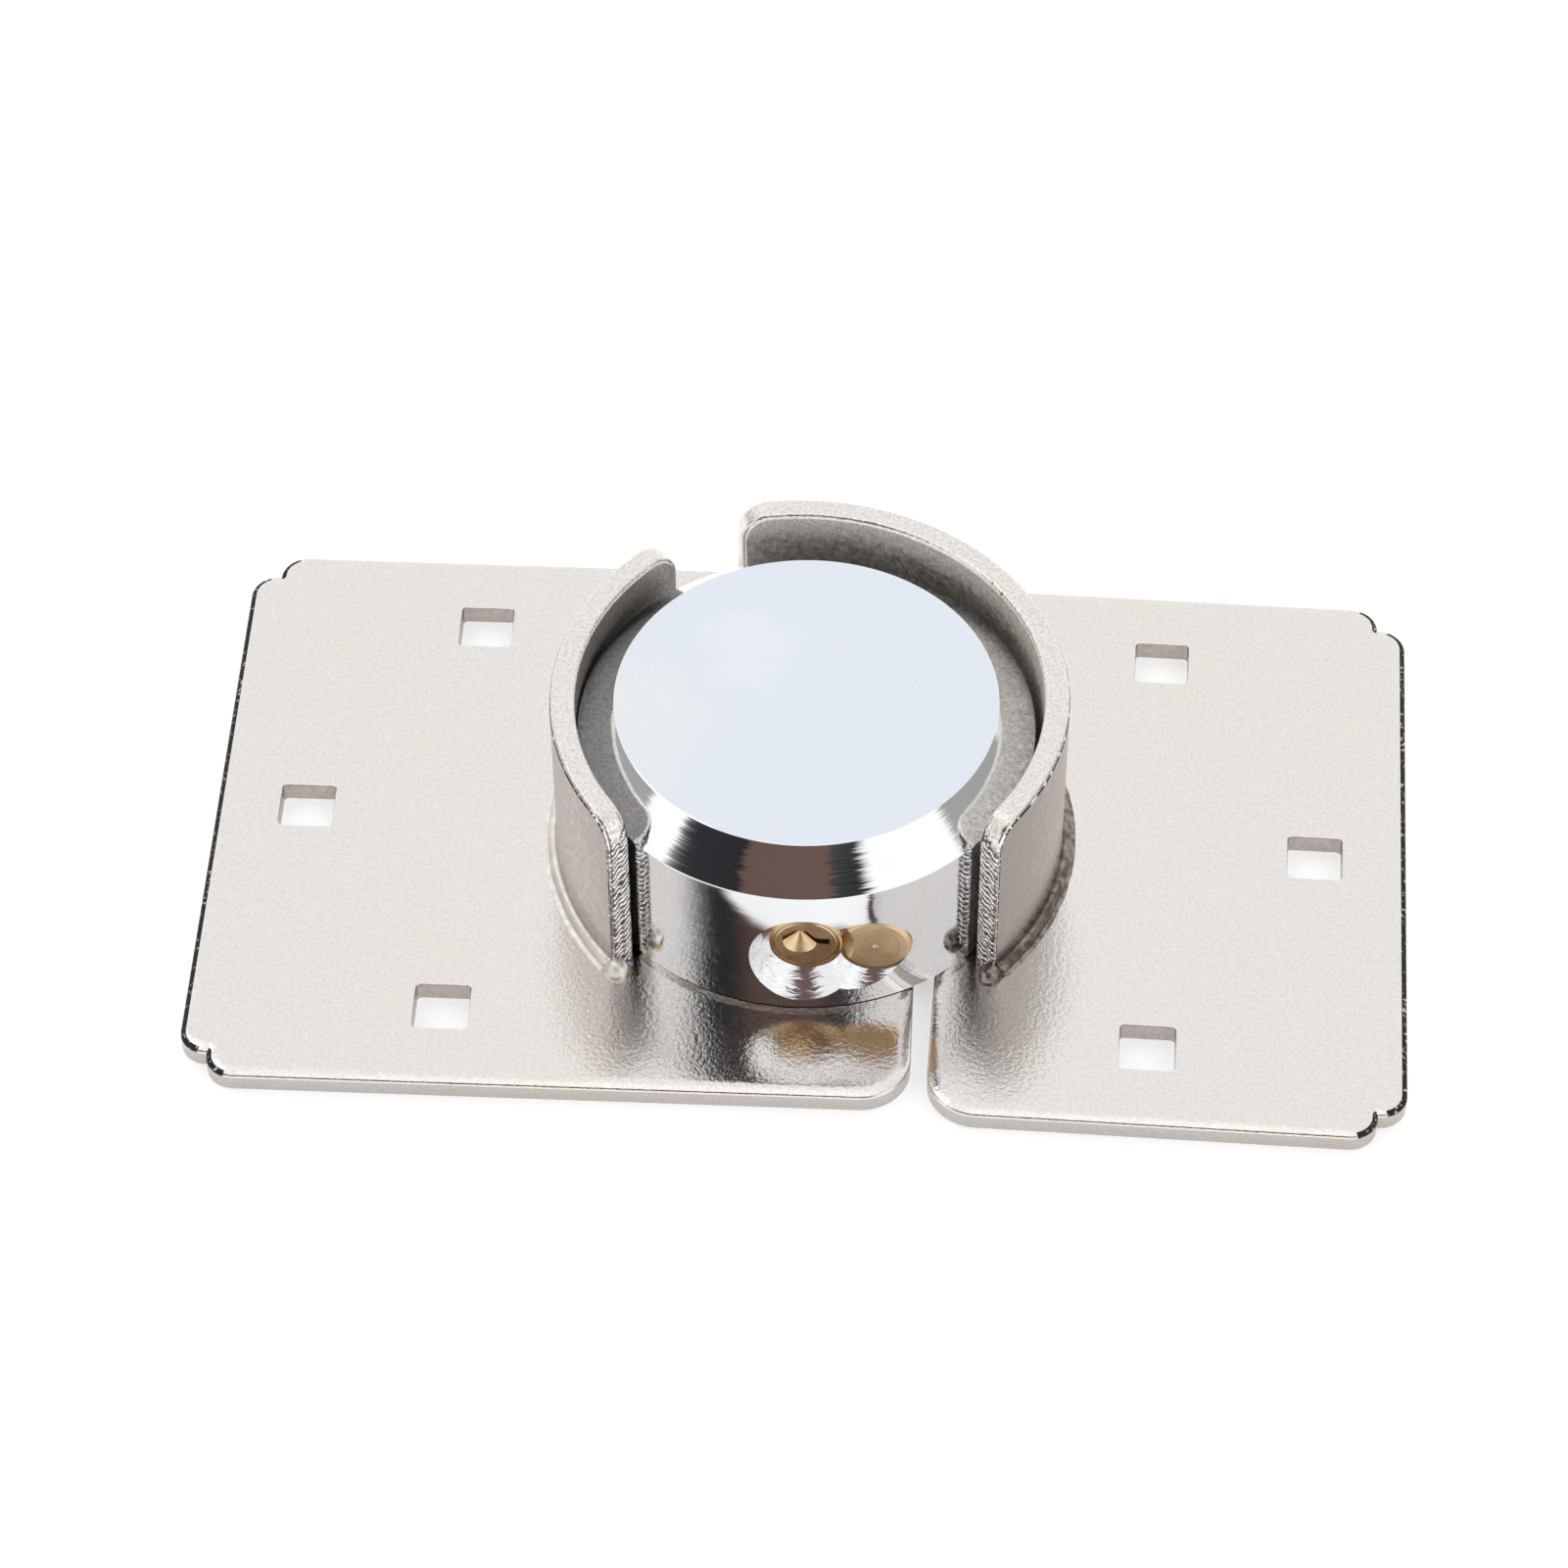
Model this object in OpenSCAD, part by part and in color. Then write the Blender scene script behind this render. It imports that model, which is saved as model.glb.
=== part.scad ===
// Round hidden-bolt padlock in a two-leaf door hasp with two curved guards.
// The origin is on the lock's axis at the underside of the leaves. +X runs
// along the hasp, +Y to its back and +Z out of the doors. The lock's keyhole
// and its bolt head face the front, -Y.

/* [Leaves] */
// Size of each leaf along the doors' edges, front to back
leaf_l = 113; // [100:1:140]
// Thickness of the leaves
leaf_t = 3.6; // [3:0.1:5]
// How far the left leaf reaches from the lock's axis
left_reach = 97.1; // [85:0.1:125]
// How far the right leaf reaches from the lock's axis
right_reach = 97.8; // [85:0.1:125]
// Where the left leaf ends, right of the lock's axis
gap_x = 18.4; // [17:0.1:20]
// Width of the gap between the leaves
gap_w = 4.3; // [3:0.1:6]
// How far the middle of the left leaf lies behind the lock's axis
left_leaf_y = 3.3; // [0:0.1:6]
// How far the middle of the right leaf lies behind the lock's axis
right_leaf_y = 1.2; // [0:0.1:6]
// How far the right leaf has turned in the slack of its eye, in degrees
leaf_turn = 1.75; // [0:0.05:1.9]
// Radius of the leaves' inner corners
inner_r = 8; // [5:0.5:14]
// Radius of the two lobes at each outer corner
lobe_r = 4.4; // [3:0.1:4.5]
// Step between the two lobes of an outer corner
lobe_step = 4.6; // [4.6:0.1:7]
// Width of the sheared, drawn-in band along the leaves' upper edges
roll_w = 1.4; // [0.8:0.1:2]
// Drop of that band at the edge
roll_drop = 0.55; // [0.3:0.05:1]

/* [Fixing holes] */
// Width of the square holes for carriage bolts
hole_w = 8.8; // [6:0.1:11]
// Radius of the square holes' corners
hole_r = 0.8; // [0.3:0.1:2]
// Outer column of holes, from the leaf's outer edge
hole_edge = 14.8; // [11:0.1:18]
// Distance between the two columns of holes
hole_row = 26; // [18:0.5:28]
// Distance between neighbouring holes, front to back
hole_pitch = 41.25; // [36:0.25:44]

/* [Guards] */
// Thickness of the guard bars
guard_t = 4; // [3:0.1:5]
// Height of the guards above the leaves
guard_h = 33.9; // [28:0.1:40]
// Rounding of the guards' upper end corners
guard_end_r = 5; // [2:0.5:8]
// Rounding of the guards' upper edges
guard_edge_r = 0.8; // [0.4:0.1:1.5]
// How much larger than the lock the left guard's bend is
left_guard_room = 3.8; // [3:0.1:5]
// Running gap where the lock lies against the left guard
guard_touch = 0.2; // [0.1:0.1:0.4]
// How much larger than the lock the right guard's bend is
right_guard_room = 2.5; // [2.1:0.1:3.5]
// Centre of the right guard's bend, from the lock's axis
right_guard_x = -1.1; // [-1.4:0.1:0]
// How far the centres of both bends lie behind the lock's axis
guard_y = 0.6; // [0:0.1:0.8]
// Where the left guard starts at the back, in degrees from +X
left_guard_a0 = 130.2; // [126:0.1:140]
// Where the left guard ends at the front
left_guard_a1 = 222; // [214:0.5:226]
// Where the right guard starts at the front
right_guard_a0 = -39.8; // [-44:0.1:-32]
// Where the right guard ends at the back
right_guard_a1 = 108; // [96:0.5:112]
// Clearance of the right guard and its eye over the left leaf
leaf_clear = 0.5; // [0.3:0.1:0.9]
// Width of the weld beads along the guards
weld_w = 2.2; // [1.5:0.1:3]
// Height of the weld beads
weld_h = 3; // [2:0.1:4]

/* [Lock body] */
// Radius of the lock
lock_r = 36.5; // [34.5:0.1:38.5]
// Height of the lock
lock_h = 33; // [29:0.5:38]
// Chamfer round the lock's top
lock_chamfer = 6; // [3:0.5:8]
// Chamfer round the lock's underside
lock_foot = 0.8; // [0.4:0.1:1.5]
// Broken edge at either side of the top chamfer
lock_break = 0.2; // [0.1:0.05:0.5]
// Gap between the leaves and the lock
lock_lift = 0.3; // [0.2:0.05:0.4]
// Height of the key cylinder and the bolt above the lock's underside
bore_up = 12.1; // [11.5:0.1:14]
// Key cylinder's axis, right of the lock's axis
cyl_x = 1.4; // [-1:0.1:2]
// Distance from the key cylinder's axis to the bolt's
bolt_gap = 10.9; // [10.8:0.1:11.4]
// Depth of the cylinder's face behind the front of the lock
face_in = 3.6; // [2.4:0.1:4]
// Half angle of the two milled scoops, in degrees
scoop_a = 48; // [40:1:52]

/* [Key cylinder] */
// Radius of the cylinder's housing, and of the bolt's head
face_r = 5.7; // [5.6:0.05:5.75]
// Length of the housing
housing_l = 21.7; // [21:0.1:23]
// Radius of the plug
plug_r = 4.8; // [4.6:0.05:4.9]
// Radius of the plug's flange
flange_r = 5.15; // [5.1:0.05:5.25]
// Thickness of the plug's flange
flange_t = 1; // [0.6:0.1:1.5]
// Width of the keyway
key_w = 7.4; // [6:0.1:7.6]
// Height of the keyway
key_t = 1.2; // [0.8:0.1:1.4]
// Height of the keyway above the plug's axis
key_up = 1; // [0.6:0.1:1.2]
// Tilt of the keyway, in degrees
key_tilt = 5; // [0:0.5:6]
// Radius of the conical lead-in round the keyway
lead_r = 2.7; // [1.8:0.1:2.9]
// Depth of the lead-in
lead_d = 2.5; // [1.5:0.1:3]
// Radius of the tumbler pins
pin_r = 1.2; // [1:0.05:1.3]
// Distance between neighbouring pins
pin_pitch = 3.5; // [3.1:0.1:3.6]
// First pin, behind the cylinder's face
pin_first = 4; // [3.6:0.1:4.4]
// Length of the driver pins
driver_l = 3.2; // [2.4:0.1:3.6]
// Thickness of the wire of the pins' springs
pin_wire = 0.3; // [0.2:0.05:0.35]
// Thickness of the strip that closes the pin bores
cover_t = 1.3; // [1:0.1:1.6]
// Thickness of the cam behind the plug
cam_t = 2.5; // [2:0.1:3]
// Reach of the cam's lobe into the bolt
cam_bite = 1.4; // [1:0.1:1.6]
// Radius of the pin that holds the housing
hold_r = 1.25; // [0.8:0.05:1.5]

/* [Bolt] */
// Radius of the bolt's shank
bolt_r = 3.9; // [3.6:0.05:3.95]
// Stroke of the bolt
stroke = 19; // [18.6:0.1:21]
// How far the bolt reaches into the wall behind the eyes
bolt_catch = 4; // [3:0.1:4.2]
// Length of the bolt's head
head_l = 8.8; // [7:0.1:10]
// Bevel round the head's face
head_bevel = 0.6; // [0.3:0.1:1]
// Width of the flare where the head's flute meets its face
flare_w = 1.8; // [0.4:0.1:2.4]
// Depth of that flare
flare_d = 2; // [0.6:0.1:3]
// Thickness of the wire of the bolt's spring
spring_wire = 0.7; // [0.5:0.05:0.75]
// Length of the bolt's spring with the bolt home
spring_l = 11; // [9.5:0.1:12]
// Radius of the pin that stops the bolt
stop_r = 1.5; // [1:0.1:1.6]

/* [Eyes] */
// Thickness of the two eyes that the bolt passes through
eye_t = 6; // [4:0.1:6.4]
// Metal round the hole of an eye
eye_wall = 3.7; // [2.5:0.1:4.2]
// Clearance of the bolt in the eyes
eye_clear = 0.4; // [0.3:0.05:0.6]
// Gap between the two eyes
eye_gap = 0.7; // [0.6:0.1:1]
// Clearance of the eyes in the lock's pocket
pocket_clear = 0.5; // [0.4:0.1:0.8]
// Metal between the cam's chamber and the lock's pocket
pocket_wall = 5.5; // [5:0.1:6.5]
// How far the right eye reaches onto its leaf
eye_foot = 8; // [5:0.1:8.5]

/* [Hidden] */

$fn = 96;
// Small overlap that keeps a cutter clear of the face it cuts
eps = 0.05;
// Clearance of a pin or plug that turns or slides
fit = 0.06;
// Clearance of pieces that are pressed or screwed together
press = 0.02;
// Height at which the guards and eyes stand
top = leaf_t;
right_edge_x = gap_x + gap_w;
lock_z = leaf_t + lock_lift;
axis_z = lock_z + bore_up;
bolt_x = cyl_x + bolt_gap;
face_y = face_in - lock_r;
housing_end = face_y + housing_l;
cam_y = housing_end + 0.2;
cam_end = cam_y + cam_t;
cam_room = 0.2;
cam_r = bolt_gap - bolt_r + cam_bite;
cam_body_r = plug_r + 0.6;
lobe_w = 0.6 * cam_body_r;
tail_w = 5;
key_cuts = [2, 0, 3, 1, 2];
cut_step = 0.35;
key_pin_l = 3;
eye_r = bolt_r + eye_clear + eye_wall;
pocket_y = cam_end + pocket_wall;
left_eye_y = pocket_y + pocket_clear;
right_eye_y = left_eye_y + eye_t + eye_gap;
pocket_end = right_eye_y + eye_t + pocket_clear;
pocket_top = axis_z + eye_r + pocket_clear;
bolt_end = pocket_end + bolt_catch;
// The right leaf turns on the bolt, about the middle of its eye
pivot = [bolt_x, right_eye_y + eye_t / 2, 0];
spring_seat = face_y + head_l + spring_l;
bolt_bore = bolt_r + fit;
spring_bore = bolt_r + spring_wire + 0.2;
stop_y = cam_y + cam_t / 2;
cover_z = lock_z + cover_t;
cover_w = 4;
function pin_y(i) = face_y + pin_first + i * pin_pitch;
// The holding pin lies across the housing's side and bites half of its wall
hold_x = cyl_x - face_r - hold_r + (face_r - plug_r) / 2;
hold_y = pin_y(2);
driver_top = axis_z - plug_r - 2 * fit;
screw_r = 1.5;
screw_head_r = 2.9;
screw_room = 2.6;
stud_r = 2.4;
stud_l = 5.5;
// Shoulder round the eyes' tenons, and the metal left at the leaves' edges
tenon_in = 1;
tenon_edge = 2;
// How far the two cross pins stand above the axis of the bores they hold
pin_over = 3.8;
pin_lift = 0.3;
pin_drill = 0.2;
left_guard_r = lock_r + left_guard_room;
right_guard_r = lock_r + right_guard_room;
left_guard_at = [left_guard_room - guard_touch, guard_y, top];
right_guard_at = [right_guard_x, guard_y, top];

nickel = [0.87, 0.85, 0.82];
steel = [0.86, 0.88, 0.91];
brass = [0.72, 0.56, 0.33];
spring_grey = [0.6, 0.61, 0.63];

// Cylinder along Y, from y0 to y1
module rod_y(x, z, y0, y1, r) {
    translate([x, y0, z]) rotate([-90, 0, 0]) cylinder(h = y1 - y0, r = r);
}

// Cylinder along Z, from z0 to z1
module rod_z(x, y, z0, z1, r) {
    translate([x, y, z0]) cylinder(h = z1 - z0, r = r);
}

// Box from one corner to the other
module block(low, high) {
    translate(low) cube(high - low);
}

// Places what belongs to the right leaf, which has turned on the bolt
module on_right_leaf() {
    translate(pivot) rotate([0, 0, -leaf_turn]) translate(-pivot) children();
}

// One rounded corner of a sheared leaf, with its drawn-in upper edge
module leaf_corner(r) {
    rotate_extrude($fn = 32)
        polygon([[0, 0], [r, 0], [r, leaf_t - roll_drop],
            [r - roll_w / 4, leaf_t - roll_drop / 3], [r - roll_w, leaf_t], [0, leaf_t]]);
}

// Sheet with rounded corners from x0 to x1, ra at x0 and rb at x1
module sheet(x0, x1, l, ra, rb) {
    hull()
        for (side = [-1, 1]) {
            translate([x0 + ra, side * (l / 2 - ra), 0]) leaf_corner(ra);
            translate([x1 - rb, side * (l / 2 - rb), 0]) leaf_corner(rb);
        }
}

// Square hole with rounded corners through a leaf
module square_hole(x, y) {
    flat = hole_w - 2 * hole_r;
    translate([x, y, -eps])
        linear_extrude(leaf_t + 2 * eps) {
            square([hole_w, flat], center = true);
            square([flat, hole_w], center = true);
            for (sx = [-1, 1], sy = [-1, 1])
                translate([sx * flat / 2, sy * flat / 2]) circle(hole_r);
        }
}

// Leaf with its outer edge at -reach and its inner edge at inner
module leaf(reach, inner, y_mid) {
    difference() {
        translate([0, y_mid, 0]) {
            sheet(lobe_step - reach, inner, leaf_l, lobe_r, inner_r);
            sheet(-reach, inner - inner_r, leaf_l - 2 * lobe_step, lobe_r, lobe_r);
        }
        square_hole(hole_edge - reach, y_mid);
        for (side = [-1, 1])
            square_hole(hole_edge + hole_row - reach, y_mid + side * hole_pitch);
    }
}

module left_leaf() {
    color(nickel)
        difference() {
            leaf(left_reach, gap_x, left_leaf_y);
            left_tenon(press, eps);
        }
}

module right_leaf() {
    color(nickel)
        on_right_leaf()
            difference() {
                mirror([1, 0, 0]) leaf(right_reach, -right_edge_x, right_leaf_y);
                right_tenon(press, eps);
            }
}

// Section of a guard bar with rounded upper edges
module guard_section(r) {
    function rounded(x, side, angles) = [for (a = angles)
        [x - side * guard_edge_r * (1 - sin(a)), guard_h - guard_edge_r * (1 - cos(a))]];
    steps = [0:22.5:90];
    polygon(concat([[r, 0], [r + guard_t, 0]],
        rounded(r + guard_t, 1, [90:-22.5:0]), rounded(r, -1, steps)));
}

// Cuts the square upper corner at one end of a bar down to a round one
module end_corner(r, side) {
    base = guard_h - guard_end_r;
    arc = [for (a = [0:15:90])
        [guard_end_r * (1 - cos(a)) - eps, base + guard_end_r * sin(a) + eps]];
    mirror([0, side < 0 ? 1 : 0, 0])
        translate([r - guard_t, 0, 0])
            rotate([90, 0, 90])
                linear_extrude(3 * guard_t)
                    polygon(concat([[-guard_t, base + eps]], arc,
                        [[guard_end_r, guard_h + 1], [-guard_t, guard_h + 1]]));
}

// Bar bent to an arc of inner radius r, from angle a0 to a1
module guard_bar(r, a0, a1) {
    difference() {
        rotate([0, 0, a0]) rotate_extrude(angle = a1 - a0) guard_section(r);
        rotate([0, 0, a0]) end_corner(r, 1);
        rotate([0, 0, a1]) end_corner(r, -1);
    }
}

module left_bar() {
    translate(left_guard_at) guard_bar(left_guard_r, left_guard_a0, left_guard_a1);
}

// The back of the right guard crosses over the left leaf, so it is relieved below
module right_bar() {
    difference() {
        translate(right_guard_at) guard_bar(right_guard_r, right_guard_a0, right_guard_a1);
        block([-lock_r, 0, top - eps], [right_edge_x, 2 * lock_r, top + leaf_clear]);
    }
}

module left_guard() {
    color(nickel) left_bar();
}

module right_guard() {
    color(nickel) on_right_leaf() right_bar();
}

// Weld bead along the outer foot of a bar, with a blob at its front end
module weld_bead(r, a0, a1, end_a, side) {
    rotate([0, 0, a0])
        rotate_extrude(angle = a1 - a0)
            polygon([[r, 0], [r + weld_w, 0], [r + 0.85 * weld_w, 0.4 * weld_h],
                [r + 0.45 * weld_w, 0.8 * weld_h], [r, weld_h]]);
    rotate([0, 0, end_a])
        intersection() {
            translate([r - guard_t / 2, side * weld_w / 3, 0]) sphere(r = weld_w);
            translate([r - 2 * guard_t, -2 * weld_w, 0]) cube([4 * guard_t, 4 * weld_w, weld_h]);
        }
}

module left_weld() {
    color(nickel)
        difference() {
            translate(left_guard_at)
                weld_bead(left_guard_r + guard_t + press, left_guard_a0, left_guard_a1,
                    left_guard_a1, 1);
            left_bar();
        }
}

// The right guard is welded only where it stands on its own leaf
module right_weld() {
    out = right_guard_r + guard_t + press;
    back = acos((right_edge_x + roll_w - right_guard_x) / (out + weld_w));
    color(nickel)
        on_right_leaf()
            difference() {
                translate(right_guard_at)
                    weld_bead(out, right_guard_a0, back, right_guard_a0, -1);
                right_bar();
            }
}

// Outline of an eye, drawn from the front, with its foot from x0 to x1
module eye_outline(x1, low) {
    difference() {
        union() {
            translate([bolt_x, axis_z]) circle(eye_r);
            translate([bolt_x - eye_r, low]) square([x1 - bolt_x + eye_r, axis_z - low]);
            translate([bolt_x, low]) square([x1 - bolt_x - eye_wall, axis_z + eye_r - low]);
            translate([x1 - eye_wall, low])
                square([eye_wall, axis_z + eye_r - eye_wall - low]);
            translate([x1 - eye_wall, axis_z + eye_r - eye_wall]) circle(eye_wall);
        }
        translate([bolt_x, axis_z]) circle(bolt_r + eye_clear);
    }
}

// Plate of thickness eye_t in the XZ plane, its front face at y
module upright(y) {
    translate([0, y + eye_t, 0]) rotate([90, 0, 0]) linear_extrude(eye_t) children();
}

// Tenons of the eyes, which pass through the leaves and are welded and ground flush
module left_tenon(gap, over) {
    block([bolt_x - eye_r + tenon_in - gap, left_eye_y + tenon_in - gap, -over],
        [gap_x - tenon_edge + gap, left_eye_y + eye_t - tenon_in + gap, top]);
}

module right_tenon(gap, over) {
    block([right_edge_x + tenon_edge - gap, right_eye_y + tenon_in - gap, -over],
        [right_edge_x + eye_foot - tenon_in + gap, right_eye_y + eye_t - tenon_in + gap, top]);
}

module left_eye() {
    color(nickel) {
        upright(left_eye_y) eye_outline(bolt_x + eye_r, top);
        left_tenon(0, 0);
    }
}

// The right eye stands on the right leaf and reaches over the gap and the left leaf
module right_eye() {
    color(nickel)
        on_right_leaf() {
            upright(right_eye_y) eye_outline(right_edge_x + eye_foot, top + leaf_clear);
            block([right_edge_x + roll_w, right_eye_y, top],
                [right_edge_x + eye_foot, right_eye_y + eye_t, top + 2 * leaf_clear]);
            right_tenon(0, 0);
        }
}

// Conical scoop milled round one of the two brass faces
module scoop(x) {
    depth = face_in + 2;
    translate([x, face_y, axis_z])
        rotate([90, 0, 0])
            cylinder(h = depth, r1 = face_r, r2 = face_r + depth * tan(scoop_a));
}

// Pocket in the lock's underside for the two eyes
module eye_pocket() {
    low = lock_z - eps;
    left = bolt_x - eye_r - pocket_clear;
    slack = pocket_clear + sin(leaf_turn) * (right_edge_x + eye_foot - bolt_x);
    block([left, pocket_y, low],
        [bolt_x + eye_r + pocket_clear, right_eye_y + eps, pocket_top]);
    block([left - slack / 2, right_eye_y - slack, low],
        [right_edge_x + eye_foot + pocket_clear, pocket_end + slack - pocket_clear, pocket_top]);
}

// Strip-shaped recess over the pin bores, seen from below
module cover_shape(gap) {
    first = pin_y(0);
    last = pin_y(4);
    r = cover_w / 2 + gap;
    translate([cyl_x - r, first]) square([2 * r, last - first]);
    for (y = [first, last])
        translate([cyl_x, y]) circle(r);
}

module lock_body() {
    lock_top = lock_z + lock_h;
    shoulder = lock_top - lock_chamfer;
    color(steel)
        difference() {
            rotate_extrude($fn = 180)
                polygon([[0, lock_z], [lock_r - lock_foot, lock_z],
                    [lock_r, lock_z + lock_foot], [lock_r, shoulder - lock_break],
                    [lock_r - lock_break, shoulder + lock_break],
                    [lock_r - lock_chamfer + lock_break, lock_top - lock_break],
                    [lock_r - lock_chamfer - lock_break, lock_top], [0, lock_top]]);
            scoop(cyl_x);
            scoop(bolt_x);
            rod_y(cyl_x, axis_z, -lock_r, cam_y - cam_room, face_r + press);
            rod_y(cyl_x, axis_z, cam_y - cam_room - eps, cam_end + cam_room, cam_r + cam_room);
            rod_y(cyl_x, axis_z, cam_end, cam_end + screw_room, screw_head_r + 0.4);
            rod_y(bolt_x, axis_z, -lock_r, face_y + head_l, face_r + fit);
            rod_y(bolt_x, axis_z, face_y + head_l - eps, spring_seat, spring_bore);
            rod_y(bolt_x, axis_z, spring_seat - eps, bolt_end + 1, bolt_bore);
            eye_pocket();
            for (i = [0:4])
                rod_z(cyl_x, pin_y(i), lock_z, axis_z, pin_r + fit);
            translate([0, 0, lock_z - eps]) linear_extrude(cover_t + eps) cover_shape(press);
            rod_z(hold_x, hold_y, lock_z - eps, axis_z + pin_over + pin_drill, hold_r + press);
            rod_z(bolt_x + bolt_r, stop_y, lock_z - eps, axis_z + pin_over + pin_drill, stop_r + press);
        }
}

module cylinder_housing() {
    bevel = 0.3;
    color(brass)
        difference() {
            translate([cyl_x, face_y, axis_z])
                rotate([-90, 0, 0])
                    rotate_extrude()
                        polygon([[plug_r + fit, flange_t + fit],
                            [flange_r + fit, flange_t + fit], [flange_r + fit, 0],
                            [face_r - bevel, 0], [face_r, bevel], [face_r, housing_l],
                            [plug_r + fit, housing_l]]);
            for (i = [0:4])
                rod_z(cyl_x, pin_y(i), lock_z, axis_z, pin_r + fit);
            rod_z(hold_x, hold_y, lock_z, axis_z + 2 * face_r, hold_r + press);
        }
}

// Keyway and its conical lead-in, in the plug's face
module keyway() {
    translate([cyl_x, face_y - 1, axis_z + key_up])
        rotate([0, key_tilt, 0])
            translate([-key_w / 2, 0, -key_t / 2])
                cube([key_w, housing_l - 1, key_t]);
    translate([cyl_x - 1, face_y - eps, axis_z + key_up / 2])
        rotate([-90, 0, 0])
            cylinder(h = lead_d, r1 = lead_r, r2 = 0.05);
}

module plug() {
    round_over = 0.35;
    color(brass)
        difference() {
            union() {
                translate([cyl_x, face_y, axis_z])
                    rotate([-90, 0, 0])
                        rotate_extrude()
                            polygon([[0, 0], [flange_r - round_over, 0], [flange_r, round_over],
                                [flange_r, flange_t], [plug_r, flange_t],
                                [plug_r, cam_y - face_y], [0, cam_y - face_y]]);
                block([cyl_x - tail_w / 2, cam_y - eps, axis_z - tail_w / 2],
                    [cyl_x + tail_w / 2, cam_end - press, axis_z + tail_w / 2]);
            }
            keyway();
            for (i = [0:4])
                rod_z(cyl_x, pin_y(i), axis_z - face_r, axis_z + key_up, pin_r + fit);
            rod_y(cyl_x, axis_z, cam_y, cam_end + 1, screw_r + press);
        }
}

// Cam on the plug's square tail. Its lobe stands up, clear of the bolt, and
// turns a quarter turn into the bolt's notch.
module plug_cam() {
    half = 25;
    color(steel)
        difference() {
            union() {
                rod_y(cyl_x, axis_z, cam_y, cam_end, cam_body_r);
                intersection() {
                    rod_y(cyl_x, axis_z, cam_y, cam_end, cam_r);
                    translate([cyl_x, 0, axis_z])
                        for (a = [-half, half])
                            rotate([0, a, 0])
                                block([-lobe_w * cos(half), cam_y, 0], [lobe_w * cos(half), cam_end, cam_r]);
                }
            }
            block([cyl_x - tail_w / 2 - press, cam_y - eps, axis_z - tail_w / 2 - press],
                [cyl_x + tail_w / 2 + press, cam_end + eps, axis_z + tail_w / 2 + press]);
        }
}

module cam_screw() {
    head_h = 1.6;
    slot_d = 0.6;
    slot_w = 0.8;
    color(steel)
        difference() {
            union() {
                rod_y(cyl_x, axis_z, cam_y + press, cam_end + eps, screw_r);
                rod_y(cyl_x, axis_z, cam_end, cam_end + head_h, screw_head_r);
            }
            block([cyl_x - tail_w, cam_end + head_h - slot_d, axis_z - slot_w / 2],
                [cyl_x + tail_w, cam_end + head_h + 1, axis_z + slot_w / 2]);
        }
}

// Key pins stand with their feet at the shear line, as with the key in
module key_pin(i) {
    foot = axis_z - sqrt(plug_r * plug_r - pin_r * pin_r) + fit;
    length = key_pin_l + cut_step * key_cuts[i] - pin_r / 2;
    color(brass) {
        rod_z(cyl_x, pin_y(i), foot, foot + length, pin_r);
        translate([cyl_x, pin_y(i), foot + length - press])
            cylinder(h = pin_r / 2, r1 = pin_r, r2 = pin_r / 3);
    }
}

module driver_pin(i) {
    color(brass) rod_z(cyl_x, pin_y(i), driver_top - driver_l, driver_top, pin_r);
}

// Round wire of thickness d wound along Z to radius r, with its ends ground flat
module coil(r, d, length, turns, steps, sides) {
    n = turns * steps;
    rise = length - d;
    function ring(k) = [for (s = [0:sides - 1])
        let (a = 360 * k / steps, b = 360 * s / sides)
        [(r + d / 2 * cos(b)) * cos(a), (r + d / 2 * cos(b)) * sin(a),
            d / 2 + rise * k / n + d / 2 * sin(b)]];
    points = [for (k = [0:n]) each ring(k)];
    walls = [for (k = [0:n - 1], s = [0:sides - 1])
        let (a = k * sides + s, b = k * sides + (s + 1) % sides)
        [a, b, b + sides, a + sides]];
    ends = [[for (s = [sides - 1:-1:0]) s], [for (s = [0:sides - 1]) n * sides + s]];
    polyhedron(points, concat(ends, walls), convexity = 4);
}

module pin_spring(i) {
    low = cover_z + press;
    color(spring_grey)
        translate([cyl_x, pin_y(i), low])
            coil(pin_r - pin_wire / 2 - fit, pin_wire, driver_top - driver_l - low - press, 4, 8, 5);
}

module pin_cover() {
    color(brass) translate([0, 0, lock_z]) linear_extrude(cover_t - press) cover_shape(0);
}

module housing_pin() {
    color(steel) rod_z(hold_x, hold_y, lock_z + pin_lift, axis_z + pin_over, hold_r);
}

module bolt_stop_pin() {
    color(steel) rod_z(bolt_x + bolt_r, stop_y, lock_z + pin_lift, axis_z + pin_over, stop_r);
}

// Notch across the bolt for the cam's lobe, which bites from the left
module cam_notch(y) {
    block([bolt_x - bolt_r - 1, y - cam_room, axis_z - bolt_r - 1],
        [bolt_x - bolt_r + cam_bite + cam_room, y + cam_t + cam_room, axis_z + bolt_r + 1]);
}

module bolt() {
    start = face_y + head_l;
    tip = 0.8;
    color(steel)
        difference() {
            union() {
                rod_y(bolt_x, axis_z, start - stud_l, start + eps, stud_r);
                translate([bolt_x, start, axis_z])
                    rotate([-90, 0, 0])
                        rotate_extrude()
                            polygon([[0, 0], [bolt_r, 0], [bolt_r, bolt_end - start - tip],
                                [bolt_r - tip, bolt_end - start], [0, bolt_end - start]]);
            }
            cam_notch(cam_y);
            cam_notch(cam_y + stroke);
            block([bolt_x + bolt_r - stop_r - fit, stop_y - stop_r - fit, axis_z - bolt_r - 1],
                [bolt_x + bolt_r + 1, stop_y + stop_r + stroke + fit, axis_z + bolt_r + 1]);
        }
}

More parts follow.
